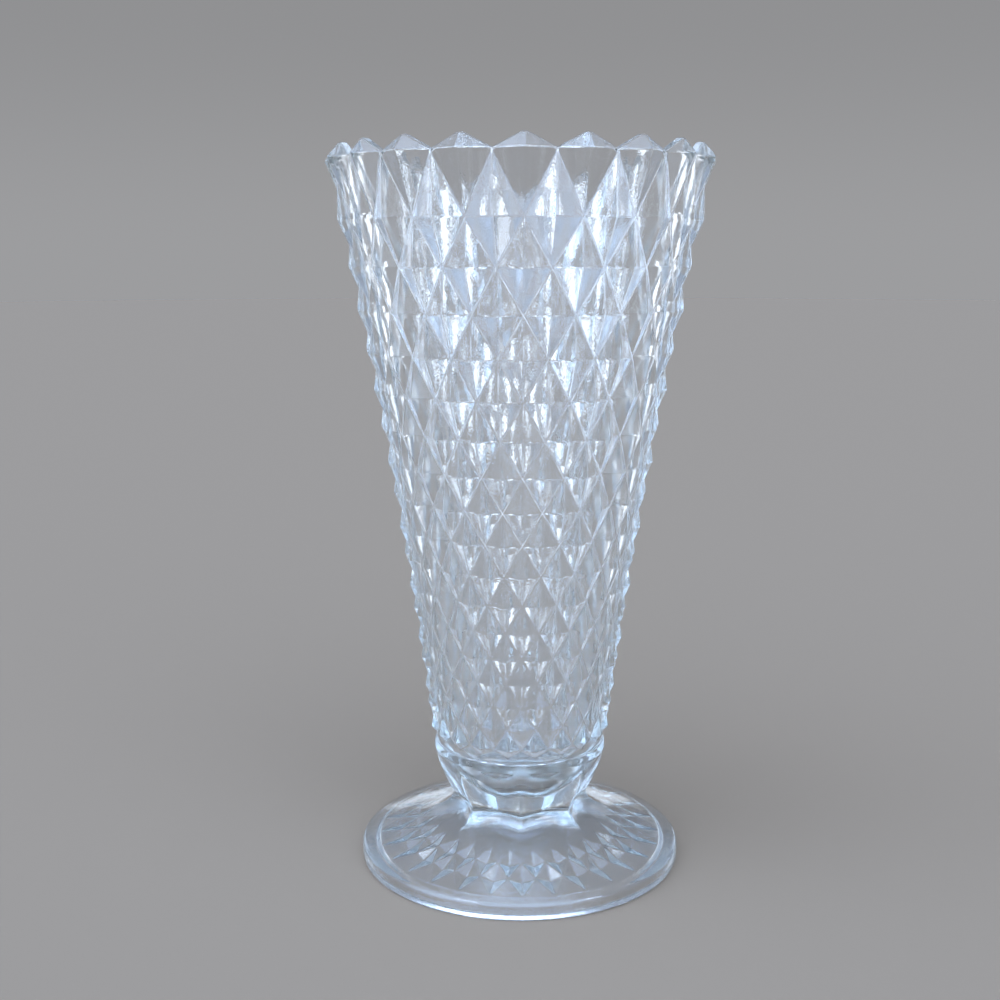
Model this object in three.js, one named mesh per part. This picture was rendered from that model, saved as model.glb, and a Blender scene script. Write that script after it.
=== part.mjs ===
import * as THREE from "three";
import { toCreasedNormals } from "three/addons/utils/BufferGeometryUtils.js";

// Footed vase of clear pressed glass, millimetres, +Z up.
// The origin is on the axis, in the plane that the foot rests on.
// Angles run round the axis from -Y, the front, towards +X.
// The glass is one pressing. It is divided here where a glassmaker names its parts: bowl, knop, foot.

// Heights of the three parts, which stack up to the full height
const footHeight = 22;
const knopHeight = 21.5;
const bowlHeight = 206.5;

// Bowl: diamonds in staggered rows on a flared cone
const diamondsRound = 20;
const rowCount = 18;
const rimRadius = 65.8; // over the points of the top row
const baseRadius = 32.1; // over the points of the lowest row
const flare = 0.28; // 0 is a straight cone, 1 all curve
const reliefAtRim = 4.4; // from the valleys to the points
const reliefAtBase = 2.3;
const rimRowHeight = 19.7; // from the top row's points to the next
const rowRatio = 0.957; // each row's height over that of the row above
const toothHeight = 5;
const lowRowDrop = 2.4; // from the lowest points to the end of the pattern
const collarHeight = 2.3; // plain band between the pattern and the knop
const collarDepth = 2.2; // of the plain band behind the lowest points

// Cavity: a smooth cone with a rounded end that reaches down into the knop
const wallAtRim = 3.4; // behind the valleys
const wallAtBase = 6;
const floorThickness = 6; // over the knop's lower end
const cavityRoundHeight = 18;

// Knop: eight hollow panels between sharp corners, round at its shoulder
const panelCount = 8;
const knopRadius = 30.6;
const shoulderHeight = 3.4; // from the bowl down to the widest place
const neckRadius = 24.2; // over the corners
const bellyOut = 0.84; // where the side's curve aims, from the neck out to the widest place
const bellyUp = 0.5; // and from the neck up to it
const fluteDepth = 1.4; // of a panel's hollow, at the neck

// Foot: a low cone with a round edge and a flat ring to stand on
const footRadius = 57.2;
const edgeHeight = 5.7; // of the cone's outer end
const edgeRounding = 1.4;
const neckHeight = 3.2; // upright part under the knop
const coveWidth = 5.5;
const ridgeFade = 20; // how far the corners run out over the foot

// Underside: diamonds pressed in rings, behind the ring that the foot stands on, round a plain middle
const footDiamondsRound = 24;
const footRowCount = 3;
const footRowRatio = 0.77; // each ring's width over that of the ring inside it
const footPatternStart = 18.7;
const footRelief = 1.5;
const recessDepth = 2.3;
const recessSlope = 1;
const restRingWidth = 5.4;

// Fineness of the round surfaces
const wallSteps = 9;
const roundSteps = 7;
const sideSteps = 6;
const edgeSteps = 5;
const segmentsPerDiamond = 4;
const segmentsPerPanel = 6;
const creaseAngle = THREE.MathUtils.degToRad(22); // facets that meet at more than this have a sharp edge

const bowlJoint = footHeight + knopHeight;
const height = bowlJoint + bowlHeight;
const rimLine = height - toothHeight;
const patternEnd = bowlJoint + collarHeight;
const lowRow = patternEnd + lowRowDrop;
const collarRadius = baseRadius - collarDepth;
const cavityFloor = footHeight + floorThickness;
const cavityRoundTop = cavityFloor + cavityRoundHeight;
const cavitySegments = segmentsPerDiamond * diamondsRound;
const panelSegments = panelCount * segmentsPerPanel;
const edgeSegments = 2 * panelSegments;
const coveShare = coveWidth / (footRadius - neckRadius);
const edgeShare = 1 - edgeRounding / (footRadius - neckRadius);

const glass = { color: 0xe4eef0, roughness: 0.04, metalness: 0 };

// A closed skin laid over rings of points. The rings follow each other along the section of the piece,
// counter-clockwise round the axis, and each band between two rings faces out of the glass.
class Skin {
  constructor() {
    this.points = [];
    this.faces = [];
  }

  addRing(points) {
    return points.map((point) => this.points.push(point) - 1);
  }

  addFace(a, b, c) {
    if (a !== b && b !== c && c !== a) this.faces.push(a, b, c);
  }

  // Joins two rings of any number of points, by their share of the whole turn
  stitch(ring, next) {
    let i = 0;
    let j = 0;
    while (i < ring.length || j < next.length) {
      const a = ring[i % ring.length];
      const b = next[j % next.length];
      const ringIsBehind = (i + 1) * next.length <= (j + 1) * ring.length;
      if (j >= next.length || (i < ring.length && ringIsBehind)) {
        i += 1;
        this.addFace(a, ring[i % ring.length], b);
      } else {
        j += 1;
        this.addFace(a, next[j % next.length], b);
      }
    }
  }

  stitchAll(rings) {
    for (let i = 1; i < rings.length; i += 1) this.stitch(rings[i - 1], rings[i]);
  }

  // Joins two rows of diamonds. Each quad is folded from valley to valley.
  fold(ring, next, row) {
    for (let i = 0; i < ring.length; i += 1) {
      const k = (i + 1) % ring.length;
      if (isPoint(i, row)) {
        this.addFace(ring[i], ring[k], next[i]);
        this.addFace(ring[k], next[k], next[i]);
      } else {
        this.addFace(ring[i], ring[k], next[k]);
        this.addFace(ring[i], next[k], next[i]);
      }
    }
  }

  geometry() {
    const geometry = new THREE.BufferGeometry().setFromPoints(this.points);
    geometry.setIndex(this.faces);
    return toCreasedNormals(geometry, creaseAngle);
  }
}

// In even rows the points stand at the even places, and in odd rows at the odd ones
function isPoint(place, row) {
  return (place + row) % 2 === 0;
}

function ringPoint(radius, z, turn) {
  const angle = 2 * Math.PI * turn;
  return new THREE.Vector3(radius * Math.sin(angle), -radius * Math.cos(angle), z);
}

function roundRing(radius, z, count) {
  return Array.from({ length: count }, (_, i) => ringPoint(radius, z, i / count));
}

function axisPoint(z) {
  return [new THREE.Vector3(0, 0, z)];
}

// Share of the bowl's height, 0 at the lowest points and 1 at the top row
function bowlShare(z) {
  return (z - lowRow) / (rimLine - lowRow);
}

function pointRadius(z) {
  const t = bowlShare(z);
  return baseRadius + (rimRadius - baseRadius) * ((1 - flare) * t + flare * t * t);
}

function valleyRadius(z) {
  return pointRadius(z) - THREE.MathUtils.lerp(reliefAtBase, reliefAtRim, bowlShare(z));
}

function cavityRadius(z) {
  return valleyRadius(z) - THREE.MathUtils.lerp(wallAtBase, wallAtRim, bowlShare(z));
}

function rowHeight(row) {
  if (row === 0) return rimLine;
  const secondRow = rimLine - rimRowHeight;
  const share = (1 - rowRatio ** (row - 1)) / (1 - rowRatio ** (rowCount - 2));
  return THREE.MathUtils.lerp(secondRow, lowRow, share);
}

function diamondRow(row) {
  const z = rowHeight(row);
  const count = 2 * diamondsRound;
  return Array.from({ length: count }, (_, i) =>
    ringPoint(isPoint(i, row) ? pointRadius(z) : valleyRadius(z), z, i / count));
}

// The rounded end is a half ellipse, so this profile gives the radius and height on it
// at a share of the way from the axis to the wall
function cavityRound(share) {
  const angle = share * Math.PI / 2;
  const radius = cavityRadius(cavityRoundTop) * Math.sin(angle);
  return new THREE.Vector2(radius, cavityRoundTop - cavityRoundHeight * Math.cos(angle));
}

// Share at which the rounded end passes through the joint of bowl and knop
function jointShare() {
  const drop = (cavityRoundTop - bowlJoint) / cavityRoundHeight;
  return 2 * Math.acos(THREE.MathUtils.clamp(drop, 0, 1)) / Math.PI;
}

// Both parts take this ring, so their faces meet edge to edge
function jointInnerRing() {
  const radius = cavityRoundTop > bowlJoint ? cavityRound(jointShare()).x : cavityRadius(bowlJoint);
  return roundRing(radius, bowlJoint, cavitySegments);
}

function jointOuterRing() {
  return roundRing(collarRadius, bowlJoint, cavitySegments);
}

// The teeth are the upper halves of the top row, leaning back to the line of the valleys
function toothTips(skin, topRow) {
  const count = 2 * diamondsRound;
  return topRow.map((valley, i) => {
    const tip = ringPoint(valleyRadius(rimLine), height, i / count);
    return isPoint(i, 0) ? skin.addRing([tip])[0] : valley;
  });
}

function rimInnerRing() {
  const half = segmentsPerDiamond / 2;
  return Array.from({ length: cavitySegments }, (_, i) => {
    const rise = Math.abs(i % segmentsPerDiamond - half) / half;
    const z = THREE.MathUtils.lerp(rimLine, height, rise);
    return ringPoint(cavityRadius(z), z, i / cavitySegments);
  });
}

function cavityWallRings() {
  const top = rimLine - toothHeight;
  const bottom = Math.max(cavityRoundTop, bowlJoint);
  const steps = cavityRoundTop > bowlJoint ? wallSteps : wallSteps - 1;
  return Array.from({ length: steps + 1 }, (_, i) => {
    const z = THREE.MathUtils.lerp(top, bottom, i / wallSteps);
    return roundRing(cavityRadius(z), z, cavitySegments);
  });
}

function makeBowl() {
  const skin = new Skin();
  const inner = skin.addRing(jointInnerRing());
  const outer = skin.addRing(jointOuterRing());
  const collar = skin.addRing(roundRing(collarRadius, patternEnd, 2 * diamondsRound));
  skin.stitchAll([inner, outer, collar]);

  let lower = collar;
  for (let row = rowCount - 1; row >= 0; row -= 1) {
    const upper = skin.addRing(diamondRow(row));
    skin.fold(lower, upper, row + 1);
    lower = upper;
  }
  const teeth = toothTips(skin, lower);
  skin.fold(lower, teeth, 0);

  const rim = skin.addRing(rimInnerRing());
  const wall = cavityWallRings().map((ring) => skin.addRing(ring));
  skin.stitchAll([teeth, rim, ...wall, inner]);
  return skin.geometry();
}

// Radius of the eight-sided section at a place round it, as a share of the turn.
// squareness is 0 where the section is round and 1 where it is flat-sided.
function panelRadius(cornerRadius, turn, squareness, flute) {
  const across = 2 * (turn * panelCount % 1) - 1;
  const half = Math.PI / panelCount;
  const flat = cornerRadius * Math.cos(half) / Math.cos(half * across);
  return THREE.MathUtils.lerp(cornerRadius, flat, squareness) - flute * (1 - across * across);
}

function panelRing(cornerRadius, z, count, squareness, flute) {
  return Array.from({ length: count }, (_, i) =>
    ringPoint(panelRadius(cornerRadius, i / count, squareness, flute), z, i / count));
}

// Both parts take this ring, so their faces meet edge to edge
function neckRing() {
  return panelRing(neckRadius, footHeight, panelSegments, 1, fluteDepth);
}

function knopSide() {
  const widest = bowlJoint - shoulderHeight;
  return new THREE.QuadraticBezierCurve(
    new THREE.Vector2(neckRadius, footHeight),
    new THREE.Vector2(
      THREE.MathUtils.lerp(neckRadius, knopRadius, bellyOut),
      THREE.MathUtils.lerp(footHeight, widest, bellyUp)),
    new THREE.Vector2(knopRadius, widest));
}

function knopShoulder() {
  return new THREE.QuadraticBezierCurve(
    new THREE.Vector2(knopRadius, bowlJoint - shoulderHeight),
    new THREE.Vector2(knopRadius, bowlJoint - shoulderHeight / 4),
    new THREE.Vector2(collarRadius, bowlJoint));
}

function makeKnop() {
  const skin = new Skin();
  const rings = [skin.addRing(axisPoint(footHeight)), skin.addRing(neckRing())];
  const side = knopSide();
  for (let i = 1; i <= sideSteps; i += 1) {
    const rise = i / sideSteps;
    const at = side.getPoint(rise);
    const fade = Math.cos(rise * Math.PI / 2);
    rings.push(skin.addRing(panelRing(at.x, at.y, panelSegments, fade, fluteDepth * fade)));
  }
  const shoulder = knopShoulder();
  for (let i = 1; i < edgeSteps; i += 1) {
    const at = shoulder.getPoint(i / edgeSteps);
    rings.push(skin.addRing(roundRing(at.x, at.y, panelSegments)));
  }
  rings.push(skin.addRing(jointOuterRing()), skin.addRing(jointInnerRing()));

  for (let i = roundSteps - 1; i > 0; i -= 1) {
    const at = cavityRound(jointShare() * i / roundSteps);
    rings.push(skin.addRing(roundRing(at.x, at.y, cavitySegments)));
  }
  rings.push(skin.addRing(axisPoint(cavityFloor)));
  skin.stitchAll(rings);
  return skin.geometry();
}

// The foot's rings of diamonds are numbered from the outside in, and each is wider than the one outside it
function footRowRadius(row) {
  const end = footRadius - edgeRounding - restRingWidth - recessSlope;
  const ringsWithin = footRowCount + 1 - row;
  const share = (1 - footRowRatio ** ringsWithin) / (1 - footRowRatio ** (footRowCount + 1));
  return THREE.MathUtils.lerp(footPatternStart, end, share);
}

function footDiamondRow(row) {
  const count = 2 * footDiamondsRound;
  const hasPoints = row > 0 && row <= footRowCount;
  return Array.from({ length: count }, (_, i) => {
    const z = hasPoints && isPoint(i, row) ? recessDepth - footRelief : recessDepth;
    return ringPoint(footRowRadius(row), z, i / count);
  });
}

// Straight side of the foot, from under the neck to the edge's upper corner
function footCone() {
  return new THREE.LineCurve(
    new THREE.Vector2(neckRadius, footHeight - neckHeight),
    new THREE.Vector2(footRadius, edgeHeight));
}

// From the cone's outer end in to the neck. The corners of the neck run out over the cone and fade.
function footTopRings() {
  const cone = footCone();
  const cove = new THREE.QuadraticBezierCurve(
    cone.getPoint(coveShare), cone.getPoint(0), new THREE.Vector2(neckRadius, footHeight));
  const section = [];
  for (let i = 0; i <= sideSteps; i += 1) {
    section.push(cone.getPoint(THREE.MathUtils.lerp(edgeShare, coveShare, i / sideSteps)));
  }
  for (let i = 1; i <= edgeSteps; i += 1) section.push(cove.getPoint(i / (edgeSteps + 1)));
  return section.map((at) => {
    const fade = THREE.MathUtils.clamp(1 - (at.x - neckRadius) / ridgeFade, 0, 1);
    return panelRing(at.x, at.y, edgeSegments, fade, fluteDepth * fade * fade);
  });
}

// The foot's edge: rounded at the ring it stands on and where it turns over to the cone
function footEdgeRings() {
  const lower = new THREE.QuadraticBezierCurve(
    new THREE.Vector2(footRadius - edgeRounding, 0),
    new THREE.Vector2(footRadius, 0),
    new THREE.Vector2(footRadius, edgeRounding));
  const upper = new THREE.QuadraticBezierCurve(
    new THREE.Vector2(footRadius, edgeHeight - edgeRounding),
    new THREE.Vector2(footRadius, edgeHeight),
    footCone().getPoint(edgeShare));
  const section = [...lower.getPoints(edgeSteps), ...upper.getPoints(edgeSteps).slice(0, -1)];
  return section.map((at) => roundRing(at.x, at.y, edgeSegments));
}

function makeFoot() {
  const skin = new Skin();
  let inner = skin.addRing(footDiamondRow(footRowCount + 1));
  skin.stitch(skin.addRing(axisPoint(recessDepth)), inner);
  for (let row = footRowCount; row >= 0; row -= 1) {
    const outer = skin.addRing(footDiamondRow(row));
    skin.fold(inner, outer, row + 1);
    inner = outer;
  }
  const restStart = footRadius - edgeRounding - restRingWidth;
  const rings = [roundRing(restStart, 0, edgeSegments), ...footEdgeRings(), ...footTopRings()];
  rings.push(neckRing(), axisPoint(footHeight));
  skin.stitchAll([inner, ...rings.map((ring) => skin.addRing(ring))]);
  return skin.geometry();
}

function addPart(group, name, geometry) {
  const mesh = new THREE.Mesh(geometry, new THREE.MeshStandardMaterial(glass));
  mesh.name = name;
  group.add(mesh);
}

const vase = new THREE.Group();
addPart(vase, "foot", makeFoot());
addPart(vase, "knop", makeKnop());
addPart(vase, "bowl", makeBowl());

export default vase;
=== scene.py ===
import math

import bmesh
import bpy
from bpy.props import FloatProperty, IntProperty, PointerProperty, StringProperty
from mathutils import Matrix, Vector


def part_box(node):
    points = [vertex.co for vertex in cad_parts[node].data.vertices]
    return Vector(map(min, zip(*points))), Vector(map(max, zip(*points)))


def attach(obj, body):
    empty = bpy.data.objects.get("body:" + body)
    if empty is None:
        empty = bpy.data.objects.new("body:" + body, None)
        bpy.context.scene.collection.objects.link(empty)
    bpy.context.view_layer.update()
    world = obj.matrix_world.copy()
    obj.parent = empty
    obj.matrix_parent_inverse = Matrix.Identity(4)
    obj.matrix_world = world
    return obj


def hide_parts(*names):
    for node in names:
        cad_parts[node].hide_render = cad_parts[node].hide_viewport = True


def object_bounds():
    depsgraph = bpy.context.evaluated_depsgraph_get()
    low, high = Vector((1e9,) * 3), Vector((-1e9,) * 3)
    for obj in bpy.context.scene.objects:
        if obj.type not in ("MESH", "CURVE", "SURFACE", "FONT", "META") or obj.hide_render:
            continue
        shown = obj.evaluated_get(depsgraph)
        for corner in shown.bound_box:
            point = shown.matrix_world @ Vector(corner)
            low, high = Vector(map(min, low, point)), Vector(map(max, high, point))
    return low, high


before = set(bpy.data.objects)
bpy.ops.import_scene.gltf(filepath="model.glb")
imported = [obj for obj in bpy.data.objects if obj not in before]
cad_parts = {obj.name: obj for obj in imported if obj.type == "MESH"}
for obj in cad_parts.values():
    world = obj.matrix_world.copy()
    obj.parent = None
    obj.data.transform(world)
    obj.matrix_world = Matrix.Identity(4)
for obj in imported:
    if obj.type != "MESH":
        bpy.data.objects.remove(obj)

bl_info = {
    "name": "Footed Pressed-Glass Vase",
    "version": (1, 0, 0),
    "blender": (4, 5, 0),
    "location": "View3D > Sidebar > Vase",
    "description": "Models a flared vase of clear pressed glass with diamond-point sides, a knop and a foot",
    "category": "Add Mesh",
}

# Places that the frame gives. Lengths are in metres. The vase stands on z = 0, its axis is the Z axis and its
# front looks towards -Y
WHOLE_LOW, WHOLE_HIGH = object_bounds()
FOOT_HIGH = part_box("foot")[1]
KNOP_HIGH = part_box("knop")[1]
BOWL_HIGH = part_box("bowl")[1]

# Fineness of the surfaces
PLACES_ROUND = 280  # shared by every round ring, a multiple of the diamonds' corners and of the panels'
CAVITY_STEPS = 26
CAVITY_END_STEPS = 16
KNOP_STEPS = 14
SHOULDER_STEPS = 7
CONE_STEPS = 22
COVE_STEPS = 7
EDGE_STEPS = 7
CROWN_STEPS = 6
FLOOR_SIDES = 96
WELD = 0.000002  # vertices closer than this are one

# Curve of the knop's shoulder: how far down from the bowl it aims, as a share of the shoulder
SHOULDER_AIM = 0.25

# Edges that the fire polishing rounds
SHARP_ANGLE = math.radians(18)
POLISH_SEGMENTS = 2
TOOTH_ROUNDING = 0.0014
TOOTH_SEGMENTS = 3

# Surface of the glass: faint ripples left by the cold mould, and fainter ones inside left by the plunger
RIPPLE = 0.0024  # width of a ripple
RIPPLE_DEPTH = 0.00008
RIPPLE_OCTAVES = 3.0
RIPPLE_GRAIN = 0.7  # weight of each finer octave over the one before
PLUNGER_SHARE = 0.12  # depth of the ripples inside over that of the mould's
MOULDED = "moulded"  # the attribute that is 1 where the mould shaped the glass and 0 where the plunger did

# Camera and floor
CAMERA_PLACE = (-0.0097, -0.4644, 0.215)
CAMERA_PITCH = math.radians(10.44)
CAMERA_TURN = math.radians(0.35)
CAMERA_ROLL = math.radians(0.08)
SENSOR_WIDTH = 36  # millimetres
FLOOR_HEIGHT = -0.00005  # a hair below the glass, so that the two faces don't share a plane
GLASS_BOUNCES = 32  # how often light may bend or bounce on its way through the glass

# Daylight: brightest from the front, a little from the left, over a backdrop that darkens from the horizon up
FRONT_DIRECTION = Vector((-0.25, -0.75, 0.5)).normalized()
FRONT_EDGE = (0.2, 0.85)  # cosines of the angles from its middle at which the front light starts and is full
BACKDROP_RISE = (0.0, math.radians(10))  # angles over the horizon between which the backdrop darkens
BACKDROP_END = (math.radians(11), math.radians(17))  # angles between which the daylight takes its place
FRONT_SHARE = 0.402  # how much of the front light the floor gets
ROOM_SHARE = 0.553  # how much of the room's light it gets
BACKDROP_TOP = 0.84  # brightness of the backdrop's top over that at the horizon

# Lamps that only the glass shows. turn is counted from the front and rise from the horizon, both in degrees
LAMP_TINT = "#E4F0FF"
STRIP_TURNS = (36, 56, 124, 144)
STRIP = {"rise": 6, "distance": 1.1, "size": (0.19, 0.34), "brightness": 1.3}
LOW_STRIP_TURNS = (14, 30, 46, 62, 118, 134, 150, 166)
LOW_STRIP = {"rise": -5, "distance": 0.8, "size": (0.084, 0.09), "brightness": 1.6}
LEFT_WINDOW = {"turn": -50, "rise": 50, "distance": 1.3, "size": (0.3, 0.4), "brightness": 10.0}
RIGHT_WINDOW = {"turn": 55, "rise": 40, "distance": 1.3, "size": (0.3, 0.4), "brightness": 10.0}


def length(name, description, default):
    """A size in metres for the panel."""
    return FloatProperty(name=name, description=description, default=default, min=0.0, precision=4,
                         unit="LENGTH", subtype="DISTANCE")


def share(name, description, default):
    """A number from 0 to 1 for the panel."""
    return FloatProperty(name=name, description=description, default=default, min=0.0, max=1.0,
                         subtype="FACTOR")


def hex_colour(name, description, default):
    """A colour for the panel, written as sRGB hex."""
    return StringProperty(name=name, description=description, default=default, maxlen=7)


class BowlSizes(bpy.types.PropertyGroup):
    """Sizes of the flared bowl"""
    height: length("Height", "From the table to the tips of the teeth", BOWL_HIGH.z)
    joint: length("Joint", "Height of the knop's upper end", KNOP_HIGH.z)
    rim_radius: length("Rim Radius", "Over the points of the top row", BOWL_HIGH.x)
    base_radius: length("Base Radius", "Over the points of the lowest row", 0.0321)
    flare: share("Flare", "0 is a straight cone, 1 all curve", 0.28)
    diamonds_round: IntProperty(name="Diamonds Round", description="Diamonds in a row", default=20, min=6)
    rows: IntProperty(name="Rows", description="Rows of diamonds", default=18, min=3)
    relief_at_rim: length("Relief at the Rim", "From the valleys to the points", 0.0044)
    relief_at_base: length("Relief at the Base", "From the valleys to the points", 0.0023)
    rim_row_height: length("Top Row", "From the top row's points to the next", 0.0197)
    row_ratio: share("Row Ratio", "Each row's height over that of the row above", 0.957)
    tooth_height: length("Tooth", "Height of the teeth of the rim", 0.005)
    low_row_drop: length("Low Row", "From the lowest points to the end of the pattern", 0.0024)
    collar_height: length("Collar Height", "Plain band between the pattern and the knop", 0.0023)
    collar_depth: length("Collar Depth", "The plain band behind the lowest points", 0.0022)
    wall_at_rim: length("Wall at the Rim", "Glass behind the valleys", 0.0034)
    wall_at_base: length("Wall at the Base", "Glass behind the valleys", 0.006)
    floor_thickness: length("Floor", "Glass between the cavity and the neck", 0.006)
    cavity_end: length("Cavity End", "Height of the cavity's rounded end", 0.018)


class KnopSizes(bpy.types.PropertyGroup):
    """Sizes of the panelled knop"""
    radius: length("Radius", "At the widest place", KNOP_HIGH.x)
    panels: IntProperty(name="Panels", description="Hollow panels round the knop", default=8, min=3)
    shoulder: length("Shoulder", "From the bowl down to the widest place", 0.0034)
    neck: length("Neck", "Height of the lower end", FOOT_HIGH.z)
    neck_radius: length("Neck Radius", "Over the corners", 0.0242)
    belly_out: share("Belly Out", "Where the side's curve aims, from the neck to the widest place", 0.84)
    flute: length("Flute", "Depth of a panel's hollow at the neck", 0.0014)


class FootSizes(bpy.types.PropertyGroup):
    """Sizes of the foot"""
    radius: length("Radius", "Of the round edge", FOOT_HIGH.x)
    edge: length("Edge", "Height of the cone's outer end", 0.0057)
    rounding: length("Rounding", "Of the edge's two corners", 0.0014)
    upright: length("Upright", "Height of the straight part under the knop", 0.0032)
    cove: length("Cove", "Width of the hollow corner under the knop", 0.0055)
    ridge: length("Ridge", "How far the knop's corners run out over the foot", 0.02)
    diamonds_round: IntProperty(name="Diamonds Round", description="Diamonds in a ring", default=28, min=6)
    rings: IntProperty(name="Rings", description="Rings of diamonds underneath", default=2, min=1)
    ring_ratio: FloatProperty(
        name="Ring Ratio", description="Each ring's width over that of the ring inside it", default=1.14,
        min=0.5, max=2.0)
    pattern_start: length("Pattern Start", "Radius at which the rings start", 0.0296)
    relief: length("Relief", "From the valleys to the points", 0.002)
    recess: length("Recess", "Height of the pattern's ground over the table, at its edge", 0.0023)
    hollow: share("Hollow", "How the ground rises to the middle: 0 is flat, 1 follows the foot's top", 1.0)
    recess_slope: length("Recess Slope", "Width of the recess's side", 0.001)
    rest: length("Rest", "Width of the flat ring that the vase stands on", 0.0054)


class GlassFinish(bpy.types.PropertyGroup):
    """Finish of the glass"""
    ior: FloatProperty(name="IOR", description="Refractive index of soda-lime glass", default=1.52, min=1.0)
    tint: hex_colour("Tint", "Colour of a thick piece of the glass", "#ECF3F4")
    depth: length("Depth", "Length of glass that shows the tint in full", 0.06)
    polish: length("Polish", "How wide fire polishing has rounded each edge", 0.0005)
    bloom: share("Bloom", "Light that the faint bloom of an old surface scatters", 0.03)


class StudioSettings(bpy.types.PropertyGroup):
    """Floor, lights and camera"""
    floor: hex_colour("Floor", "Colour of the floor", "#92816F")
    floor_radius: length("Floor Radius", "Out to the horizon", 6.0)
    daylight: hex_colour("Daylight", "Colour of the soft light in front", "#BFD9FF")
    front: FloatProperty(name="Front", description="Brightness of the light in front", default=4.8, min=0.0)
    room: hex_colour("Room", "Colour of the dim light behind", "#D2E4FF")
    back: FloatProperty(name="Back", description="Brightness of the light behind", default=0.45, min=0.0)
    lens: FloatProperty(name="Lens", description="Focal length of the camera", default=48.5, unit="CAMERA")


class VaseSizes(bpy.types.PropertyGroup):
    """Everything that the panel sets"""
    bowl: PointerProperty(name="Bowl", type=BowlSizes)
    knop: PointerProperty(name="Knop", type=KnopSizes)
    foot: PointerProperty(name="Foot", type=FootSizes)
    glass: PointerProperty(name="Glass", type=GlassFinish)
    studio: PointerProperty(name="Studio", type=StudioSettings)


def lerp(a, b, t):
    """The value a share t of the way from a to b."""
    return a + (b - a) * t


def place(count, index, radius, height):
    """The point at one of count places round the axis, counted from the front towards +X. With a count of 1,
    index is a share of the whole turn."""
    angle = 2 * math.pi * index / count
    return Vector((radius * math.sin(angle), -radius * math.cos(angle), height))


def turn_of(point):
    """Share of the whole turn at which a point stands, counted from the front towards +X."""
    return math.atan2(point.x, -point.y) / (2 * math.pi) % 1.0


def curve(start, aim, end, steps):
    """Points after the start on a quadratic curve of (radius, height) points."""
    shares = [i / steps for i in range(1, steps + 1)]
    return [lerp(lerp(start, aim, t), lerp(aim, end, t), t) for t in shares]


class Form:
    """Radii and heights that follow from the sizes in the panel."""

    def __init__(self, bowl, knop, foot):
        self.bowl, self.knop, self.foot = bowl, knop, foot
        self.rim_line = bowl.height - bowl.tooth_height
        self.pattern_end = bowl.joint + bowl.collar_height
        self.low_row = self.pattern_end + bowl.low_row_drop
        self.collar_radius = bowl.base_radius - bowl.collar_depth
        self.cavity_round_top = knop.neck + bowl.floor_thickness + bowl.cavity_end
        self.recess_end = foot.radius - foot.rounding - foot.rest - foot.recess_slope
        self.foot_slope = (knop.neck - foot.upright - foot.edge) / (foot.radius - knop.neck_radius)

    def share_up(self, height):
        """How far up the pattern a height is, from 0 at the lowest points to 1 at the rim's."""
        return (height - self.low_row) / (self.rim_line - self.low_row)

    def point_radius(self, height):
        t = self.share_up(height)
        bend = (1 - self.bowl.flare) * t + self.bowl.flare * t * t
        return lerp(self.bowl.base_radius, self.bowl.rim_radius, bend)

    def valley_radius(self, height):
        relief = lerp(self.bowl.relief_at_base, self.bowl.relief_at_rim, self.share_up(height))
        return self.point_radius(height) - relief

    def cavity_radius(self, height):
        wall = lerp(self.bowl.wall_at_base, self.bowl.wall_at_rim, self.share_up(height))
        return self.valley_radius(height) - wall

    def row_height(self, row):
        """Height of a row's points. Rows are numbered from the rim down."""
        if row == 0:
            return self.rim_line
        ratio, last = self.bowl.row_ratio, self.bowl.rows - 2
        t = (1 - ratio ** (row - 1)) / (1 - ratio ** last)
        return lerp(self.rim_line - self.bowl.rim_row_height, self.low_row, t)

    def foot_ring_radius(self, ring):
        """Radius of a ring's points. Rings are numbered from the inside out."""
        ratio = self.foot.ring_ratio
        t = (1 - ratio ** ring) / (1 - ratio ** (self.foot.rings + 1))
        return lerp(self.foot.pattern_start, self.recess_end, t)

    def ground_height(self, radius):
        """The ground under the foot rises inwards as the foot's top does, up to a round crown."""
        slope = self.foot_slope * self.foot.hollow
        start = self.foot.pattern_start
        cone = self.foot.recess + slope * (self.recess_end - max(start, radius))
        crown = slope * (start * start - min(start, radius) ** 2) / (2 * start)
        return cone + crown

    def tooth_rise(self, turn):
        """How far the rim's top rises at a share of the turn, from 0 between the teeth to 1 at their tips."""
        return abs(turn * self.bowl.diamonds_round % 1 - 0.5) * 2

    def panel_radius(self, corner_radius, turn, squareness, flute):
        """Radius of the panelled section, round at squareness 0 and flat-sided at 1."""
        across = 2 * (turn * self.knop.panels % 1) - 1
        half = math.pi / self.knop.panels
        flat = corner_radius * math.cos(half) / math.cos(half * across)
        return lerp(corner_radius, flat, squareness) - flute * (1 - across * across)

    def panel_fade(self, radius, height):
        """Squareness and flute depth, full at the neck and gone at the widest place and out on the foot."""
        knop, foot = self.knop, self.foot
        if height >= knop.neck:
            rise = min(1, (height - knop.neck) / (self.bowl.joint - knop.shoulder - knop.neck))
            fade = math.cos(rise * math.pi / 2)
            return fade, knop.flute * fade
        fade = min(1, max(0, 1 - (radius - knop.neck_radius) / foot.ridge))
        return fade, knop.flute * fade * fade


def is_point(index, row):
    """Points stand at the even places of even rows and at the odd places of odd ones."""
    return (index + row) % 2 == 0


def start_ring(bm, points, filled=False):
    """A ring of vertices with edges between them, and a face inside it where asked."""
    ring = bmesh.ops.create_circle(bm, cap_ends=filled, segments=len(points), radius=1)["verts"]
    for vert, point in zip(ring, points):
        vert.co = point
    return ring


def ring_edges(ring):
    """The edges between neighbours in a ring."""
    pairs = zip(ring, ring[1:] + ring[:1])
    return [next(edge for edge in a.link_edges if edge.other_vert(a) is b) for a, b in pairs]


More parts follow.
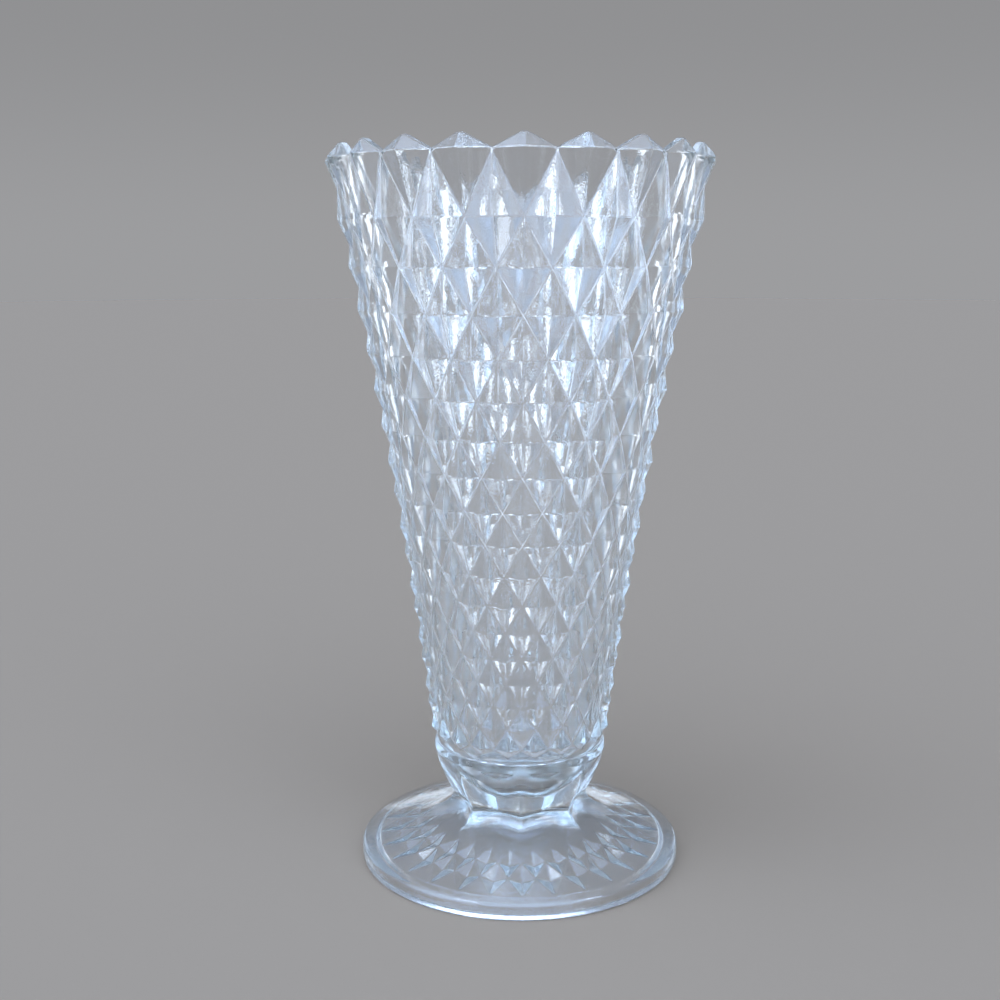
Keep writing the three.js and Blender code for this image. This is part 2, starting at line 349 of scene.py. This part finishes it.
def extrude_ring(bm, ring, points):
    """Extrudes a ring of vertices and moves the new ones to the points."""
    made = bmesh.ops.extrude_edge_only(bm, edges=ring_edges(ring))["geom"]
    fresh = {item for item in made if isinstance(item, bmesh.types.BMVert)}
    raised = [next(e.other_vert(v) for e in v.link_edges if e.other_vert(v) in fresh) for v in ring]
    for vert, point in zip(raised, points):
        vert.co = point
    return raised


def divide_rings(bm, rings, shape):
    """Divides the rings' edges until they have all the places round, and puts each place where shape says."""
    cuts = PLACES_ROUND // len(rings[0]) - 1
    edges = [edge for ring in rings for edge in ring_edges(ring)]
    made = bmesh.ops.subdivide_edges(bm, edges=edges, cuts=cuts)["geom_inner"]
    for vert in [item for item in made if isinstance(item, bmesh.types.BMVert)]:
        vert.co = shape(round(turn_of(vert.co) * PLACES_ROUND) / PLACES_ROUND, vert.co.z)


def spin_section(bm, section):
    """Turns a section of (radius, height) points round the axis."""
    verts = [bm.verts.new((point.x, 0, point.y)) for point in section]
    edges = [bm.edges.new(pair) for pair in zip(verts, verts[1:])]
    bmesh.ops.spin(bm, geom=verts + edges, axis=(0, 0, 1), angle=2 * math.pi, steps=PLACES_ROUND,
                   use_merge=True)


def press_bowl(bm, form):
    """Rows of diamonds, the teeth of the rim and the rim's top, from the collar up."""
    count = 2 * form.bowl.diamonds_round
    rows = form.bowl.rows

    def diamond_row(row):
        height = form.row_height(row)
        point, valley = form.point_radius(height), form.valley_radius(height)
        return [place(count, i, point if is_point(i, row) else valley, height) for i in range(count)]

    collar = start_ring(bm, [place(count, i, form.collar_radius, form.pattern_end) for i in range(count)])
    valleys = [vert for i, vert in enumerate(collar) if not is_point(i, rows)]
    ring = collar
    for row in range(rows - 1, -1, -1):
        ring = extrude_ring(bm, ring, diamond_row(row))
        valleys += [vert for i, vert in enumerate(ring) if not is_point(i, row)]
    # The valleys run slantwise between the diamonds, across the four-sided faces
    bmesh.ops.connect_verts(bm, verts=valleys)

    tips = [form.tooth_rise(i / count) * form.bowl.tooth_height + form.rim_line for i in range(count)]
    outer = form.valley_radius(form.rim_line)
    ring = extrude_ring(bm, ring, [place(count, i, outer, tip) for i, tip in enumerate(tips)])
    inner = [place(count, i, form.cavity_radius(tip), tip) for i, tip in enumerate(tips)]
    ring = extrude_ring(bm, ring, inner)

    def round_place(turn, height):
        if height < form.low_row:
            return place(1, turn, form.collar_radius, form.pattern_end)
        return rim_inside(form, turn)

    divide_rings(bm, [collar, ring], round_place)


def rim_inside(form, turn):
    """The cavity's upper edge, which rises and falls with the teeth."""
    height = form.rim_line + form.bowl.tooth_height * form.tooth_rise(turn)
    return place(1, turn, form.cavity_radius(height), height)


def press_cavity(bm, form):
    """The smooth cone inside with its rounded end. Its upper ring follows the teeth."""
    top = form.rim_line - form.bowl.tooth_height
    end_radius = form.cavity_radius(form.cavity_round_top)
    section = []
    for i in range(CAVITY_END_STEPS):
        angle = i / CAVITY_END_STEPS * math.pi / 2
        section.append(Vector((end_radius * math.sin(angle),
                               form.cavity_round_top - form.bowl.cavity_end * math.cos(angle))))
    for i in range(CAVITY_STEPS + 1):
        height = lerp(form.cavity_round_top, top, i / CAVITY_STEPS)
        section.append(Vector((form.cavity_radius(height), height)))
    rim = Vector((form.cavity_radius(form.bowl.height), form.bowl.height))
    start = len(bm.verts)
    spin_section(bm, section + [rim])
    bm.verts.ensure_lookup_table()
    for vert in bm.verts[start:]:
        if vert.co.z > form.bowl.height - WELD:
            vert.co = rim_inside(form, turn_of(vert.co))


def knop_section(form):
    """From the collar down over the shoulder and the side to the neck."""
    knop = form.knop
    widest = Vector((knop.radius, form.bowl.joint - knop.shoulder))
    neck = Vector((knop.neck_radius, knop.neck))
    collar = Vector((form.collar_radius, form.bowl.joint))
    shoulder_aim = Vector((knop.radius, form.bowl.joint - knop.shoulder * SHOULDER_AIM))
    side_aim = Vector((lerp(knop.neck_radius, knop.radius, knop.belly_out), (knop.neck + widest.y) / 2))
    section = [Vector((form.collar_radius, form.pattern_end)), collar]
    section += curve(collar, shoulder_aim, widest, SHOULDER_STEPS)
    section += curve(widest, side_aim, neck, KNOP_STEPS)
    return section


def foot_section(form):
    """From the neck down the cove and the cone, round the edge and in under it to the recess."""
    knop, foot = form.knop, form.foot
    neck = Vector((knop.neck_radius, knop.neck))
    cone_top = Vector((knop.neck_radius, knop.neck - foot.upright))
    cone_end = Vector((foot.radius, foot.edge))
    span = foot.radius - knop.neck_radius
    cove_end = cone_top.lerp(cone_end, foot.cove / span)
    edge_start = cone_top.lerp(cone_end, 1 - foot.rounding / span)
    rest_end = Vector((foot.radius - foot.rounding, 0))
    section = curve(neck, cone_top, cove_end, COVE_STEPS)
    section += [cove_end.lerp(edge_start, i / CONE_STEPS) for i in range(1, CONE_STEPS + 1)]
    section += curve(edge_start, cone_end, Vector((foot.radius, foot.edge - foot.rounding)), EDGE_STEPS)
    section.append(Vector((foot.radius, foot.rounding)))
    section += curve(section[-1], Vector((foot.radius, 0)), rest_end, EDGE_STEPS)
    section.append(Vector((rest_end.x - foot.rest, 0)))
    section.append(Vector((form.recess_end, foot.recess)))
    return section


def press_knop_and_foot(bm, form):
    """Turns the knop and the foot, then presses the panels into them."""
    start = len(bm.verts)
    spin_section(bm, knop_section(form) + foot_section(form))
    bm.verts.ensure_lookup_table()
    for vert in bm.verts[start:]:
        radius = vert.co.xy.length
        if form.foot.edge < vert.co.z < form.bowl.joint - form.knop.shoulder:
            squareness, flute = form.panel_fade(radius, vert.co.z)
            pressed = form.panel_radius(radius, turn_of(vert.co), squareness, flute)
            vert.co.xy *= pressed / radius


def press_underside(bm, form):
    """The hollow under the foot: a plain crown, and rings of diamonds from there out to the recess's side."""
    foot = form.foot
    count = 2 * foot.diamonds_round

    def crown_ring(step):
        radius = foot.pattern_start * step / CROWN_STEPS
        return [place(count, i, radius, form.ground_height(radius)) for i in range(count)]

    def diamond_ring(ring):
        radius = form.foot_ring_radius(ring)
        ground = form.ground_height(radius)
        point = ground - foot.relief if 0 < ring <= foot.rings else ground
        return [place(count, i, radius, point if is_point(i, ring) else ground) for i in range(count)]

    verts = start_ring(bm, crown_ring(1), filled=True)
    for step in range(2, CROWN_STEPS):
        verts = extrude_ring(bm, verts, crown_ring(step))
    valleys = []
    for ring in range(foot.rings + 2):
        verts = extrude_ring(bm, verts, diamond_ring(ring))
        valleys += [vert for i, vert in enumerate(verts) if not is_point(i, ring)]
    bmesh.ops.connect_verts(bm, verts=valleys)
    divide_rings(bm, [verts], lambda turn, height: place(1, turn, form.recess_end, height))


def make_vase(form):
    """The whole pressing as one closed body of glass."""
    bm = bmesh.new()
    moulded = bm.verts.layers.float.new(MOULDED)
    press_bowl(bm, form)
    press_underside(bm, form)
    press_knop_and_foot(bm, form)
    for vert in bm.verts:
        vert[moulded] = 1.0
    press_cavity(bm, form)
    bmesh.ops.remove_doubles(bm, verts=bm.verts, dist=WELD)
    bmesh.ops.recalc_face_normals(bm, faces=bm.faces)
    return bm


def round_teeth(bm, form):
    """Rounds the tips of the teeth, where the fire softens the thin glass most."""
    near_tip = form.bowl.height - WELD
    tips = [edge for edge in bm.edges if min(vert.co.z for vert in edge.verts) > near_tip]
    bmesh.ops.bevel(bm, geom=tips, offset=TOOTH_ROUNDING, offset_type="OFFSET", affect="EDGES",
                    segments=TOOTH_SEGMENTS, profile=0.5, material=-1)


def polish_edges(bm, width):
    """Rounds every sharp edge a little, as the fire polishing after pressing does."""
    sharp = [edge for edge in bm.edges if edge.calc_face_angle() > SHARP_ANGLE]
    bmesh.ops.bevel(bm, geom=sharp, offset=width, offset_type="OFFSET", affect="EDGES",
                    segments=POLISH_SEGMENTS, profile=0.5, material=-1)
    bmesh.ops.triangulate(bm, faces=[face for face in bm.faces if len(face.verts) > 4])


def check_closed(bm):
    """A body of glass has an inside only if its skin has no gap."""
    if any(not edge.is_manifold for edge in bm.edges):
        raise RuntimeError("the vase's skin isn't closed, so its glass has no inside")


def add_object(name, bm, material):
    """Turns a bmesh into a smooth-shaded object at the origin."""
    mesh = bpy.data.meshes.new(name)
    for face in bm.faces:
        face.smooth = True
    bm.to_mesh(mesh)
    bm.free()
    mesh.materials.append(material)
    piece = bpy.data.objects.new(name, mesh)
    bpy.context.scene.collection.objects.link(piece)
    return piece


def linear(hex_text):
    """The linear colour of an sRGB hex value, with full opacity."""
    values = [int(hex_text[i:i + 2], 16) / 255 for i in (1, 3, 5)]
    return [v / 12.92 if v <= 0.04045 else ((v + 0.055) / 1.055) ** 2.4 for v in values] + [1.0]


def add_node(tree, kind, inputs=None, **settings):
    """Adds a node with its settings. inputs gives, by name, a value or another node's output socket."""
    node = tree.nodes.new(kind)
    for key, value in settings.items():
        setattr(node, key, value)
    for name, value in (inputs or {}).items():
        if isinstance(value, bpy.types.NodeSocket):
            tree.links.new(value, node.inputs[name])
        else:
            node.inputs[name].default_value = value
    return node


def new_material(name):
    """An empty material and its output node."""
    material = bpy.data.materials.new(name)
    material.use_nodes = True
    material.node_tree.nodes.clear()
    return material, add_node(material.node_tree, "ShaderNodeOutputMaterial")


def pressed_glass(finish):
    """Soda-lime glass, pressed in an iron mould and fire polished: clear, with faint ripples where it met the
    cold iron, and a pale blue-green cast that only its thick places show."""
    material, output = new_material("pressed_soda_lime_glass")
    tree = material.node_tree
    where = add_node(tree, "ShaderNodeTexCoord").outputs["Object"]
    moulded = add_node(tree, "ShaderNodeAttribute", attribute_name=MOULDED).outputs["Fac"]
    ripples = add_node(tree, "ShaderNodeTexNoise", {
        "Vector": where,
        "Scale": 1 / RIPPLE,
        "Detail": RIPPLE_OCTAVES,
        "Roughness": RIPPLE_GRAIN})
    strength = add_node(tree, "ShaderNodeMapRange", {
        "Value": moulded,
        "To Min": PLUNGER_SHARE,
        "To Max": 1.0})
    bump = add_node(tree, "ShaderNodeBump", {
        "Height": ripples.outputs["Fac"],
        "Strength": strength.outputs["Result"],
        "Distance": RIPPLE_DEPTH})
    shader = add_node(tree, "ShaderNodeBsdfPrincipled", {
        "Base Color": (1, 1, 1, 1),
        "Roughness": 0.0,
        "IOR": finish.ior,
        "Transmission Weight": 1 - finish.bloom,
        "Normal": bump.outputs["Normal"]})
    tint = linear(finish.tint)
    red, green, blue = tint[:3]
    mean = (red + green + blue) / 3
    # A metre takes away density * (1 - colour), so that this density leaves about the tint after its depth
    body = add_node(tree, "ShaderNodeVolumeAbsorption", {
        "Color": tint,
        "Density": -math.log(mean) / (1 - mean) / finish.depth})
    tree.links.new(shader.outputs["BSDF"], output.inputs["Surface"])
    tree.links.new(body.outputs["Volume"], output.inputs["Volume"])
    return material


def matt_card(colour):
    """Uncoated card, painted matt: it spreads light evenly and has no gloss."""
    material, output = new_material("matt_painted_card")
    tree = material.node_tree
    shader = add_node(tree, "ShaderNodeBsdfPrincipled", {
        "Base Color": linear(colour),
        "Roughness": 1.0,
        "Specular IOR Level": 0.0})
    tree.links.new(shader.outputs["BSDF"], output.inputs["Surface"])
    return material


def make_floor(studio):
    """A plain round floor, wide enough to reach the horizon."""
    bm = bmesh.new()
    bmesh.ops.create_circle(bm, cap_ends=True, segments=FLOOR_SIDES, radius=studio.floor_radius)
    bmesh.ops.translate(bm, verts=bm.verts, vec=(0, 0, FLOOR_HEIGHT))
    return add_object("floor", bm, matt_card(studio.floor))


def add_lamp(name, turn, rise, distance, size, brightness):
    """A soft lamp that looks at the middle of the vase and gives its facets their glints. The camera doesn't
    see it, and the floor gets no light from it."""
    light = bpy.data.lights.new(name, "AREA")
    light.shape = "RECTANGLE"
    light.size, light.size_y = size
    light.energy = brightness * math.pi * size[0] * size[1]
    light.color = linear(LAMP_TINT)[:3]
    lamp = bpy.data.objects.new(name, light)
    lamp.visible_camera = lamp.visible_diffuse = False
    turn, rise = math.radians(turn), math.radians(rise)
    outward = Vector((math.sin(turn) * math.cos(rise), -math.cos(turn) * math.cos(rise), math.sin(rise)))
    lamp.location = (WHOLE_LOW + WHOLE_HIGH) / 2 + distance * outward
    lamp.rotation_euler = outward.to_track_quat("Z", "Y").to_euler()
    bpy.context.scene.collection.objects.link(lamp)


def add_camera(lens):
    """The camera stands where the photograph was taken from."""
    camera = bpy.data.objects.new("camera", bpy.data.cameras.new("camera"))
    camera.data.lens = lens
    camera.data.sensor_width = SENSOR_WIDTH
    camera.location = CAMERA_PLACE
    camera.rotation_euler = (math.pi / 2 - CAMERA_PITCH, CAMERA_ROLL, -CAMERA_TURN)
    bpy.context.scene.collection.objects.link(camera)
    bpy.context.scene.camera = camera


def ramp(tree, value, limits):
    """A soft step from 0 to 1 between two limits."""
    return add_node(tree, "ShaderNodeMapRange", {
        "Value": value,
        "From Min": limits[0],
        "From Max": limits[1]}, interpolation_type="SMOOTHSTEP").outputs["Result"]


def mixed(tree, blend, first, second):
    """The first colour where blend is 0 and the second where it is 1."""
    node = add_node(tree, "ShaderNodeMixRGB", {"Fac": blend, "Color1": first, "Color2": second})
    return node.outputs["Color"]


def set_world(studio):
    """Soft daylight over a low backdrop that meets the floor in the same tone."""
    world = bpy.data.worlds.new("daylight")
    world.use_nodes = True
    tree = world.node_tree
    tree.nodes.clear()
    front = [studio.front * part for part in linear(studio.daylight)]
    back = [studio.back * part for part in linear(studio.room)]
    light = [FRONT_SHARE * a + ROOM_SHARE * b for a, b in zip(front, back)]
    horizon = [a * b for a, b in zip(light, linear(studio.floor))]
    top = [BACKDROP_TOP * part for part in horizon]
    direction = add_node(tree, "ShaderNodeTexCoord").outputs["Generated"]
    height = add_node(tree, "ShaderNodeSeparateXYZ", {"Vector": direction}).outputs["Z"]
    rise = add_node(tree, "ShaderNodeMath", {0: height}, operation="ARCSINE").outputs["Value"]
    facing = add_node(tree, "ShaderNodeVectorMath", {
        0: direction,
        1: FRONT_DIRECTION}, operation="DOT_PRODUCT")
    backdrop = mixed(tree, ramp(tree, rise, BACKDROP_RISE), horizon, top)
    daylight = mixed(tree, ramp(tree, facing.outputs["Value"], FRONT_EDGE), back, front)
    colour = mixed(tree, ramp(tree, rise, BACKDROP_END), backdrop, daylight)
    background = add_node(tree, "ShaderNodeBackground", {"Color": colour})
    output = add_node(tree, "ShaderNodeOutputWorld")
    tree.links.new(background.outputs["Background"], output.inputs["Surface"])
    bpy.context.scene.world = world


class VASE_OT_press(bpy.types.Operator):
    """Model the whole pressing, bowl, knop and foot, as one body of glass"""
    bl_idname = "vase.press"
    bl_label = "Press the Vase"

    def execute(self, context):
        sizes = context.scene.vase
        form = Form(sizes.bowl, sizes.knop, sizes.foot)
        bm = make_vase(form)
        round_teeth(bm, form)
        polish_edges(bm, sizes.glass.polish)
        check_closed(bm)
        vase = add_object("pressed_vase", bm, pressed_glass(sizes.glass))
        flat = vase.modifiers.new("flat_facets", "WEIGHTED_NORMAL")
        flat.mode = "FACE_AREA"
        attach(vase, "root")
        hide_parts("bowl", "knop", "foot")
        return {"FINISHED"}


class VASE_OT_stage(bpy.types.Operator):
    """Set up the floor, the lights and the camera"""
    bl_idname = "vase.stage"
    bl_label = "Set the Stage"

    def execute(self, context):
        studio = context.scene.vase.studio
        make_floor(studio)
        set_world(studio)
        for side in (-1, 1):
            for turn in STRIP_TURNS:
                add_lamp("strip", side * turn, **STRIP)
            for turn in LOW_STRIP_TURNS:
                add_lamp("low_strip", side * turn, **LOW_STRIP)
        add_lamp("left_window", **LEFT_WINDOW)
        add_lamp("right_window", **RIGHT_WINDOW)
        context.scene.view_settings.view_transform = "Standard"
        add_camera(studio.lens)
        cycles = context.scene.cycles
        cycles.max_bounces = cycles.transmission_bounces = GLASS_BOUNCES
        cycles.glossy_bounces = GLASS_BOUNCES
        return {"FINISHED"}


class VASE_PT_panel(bpy.types.Panel):
    """Lists the sizes and the two operators"""
    bl_idname = "VASE_PT_panel"
    bl_label = "Pressed-Glass Vase"
    bl_space_type = "VIEW_3D"
    bl_region_type = "UI"
    bl_category = "Vase"

    def draw(self, context):
        for label in ("bowl", "knop", "foot", "glass", "studio"):
            group = getattr(context.scene.vase, label)
            box = self.layout.box()
            box.label(text=label.title())
            for name in group.__annotations__:
                box.prop(group, name)
        self.layout.operator(VASE_OT_press.bl_idname)
        self.layout.operator(VASE_OT_stage.bl_idname)


CLASSES = (BowlSizes, KnopSizes, FootSizes, GlassFinish, StudioSettings, VaseSizes,
           VASE_OT_press, VASE_OT_stage, VASE_PT_panel)


def register():
    for cls in CLASSES:
        bpy.utils.register_class(cls)
    bpy.types.Scene.vase = PointerProperty(type=VaseSizes)


def unregister():
    del bpy.types.Scene.vase
    for cls in reversed(CLASSES):
        bpy.utils.unregister_class(cls)


def main():
    """Makes the vase and its stage."""
    register()
    bpy.ops.vase.press()
    bpy.ops.vase.stage()


if __name__ == "__main__":
    main()
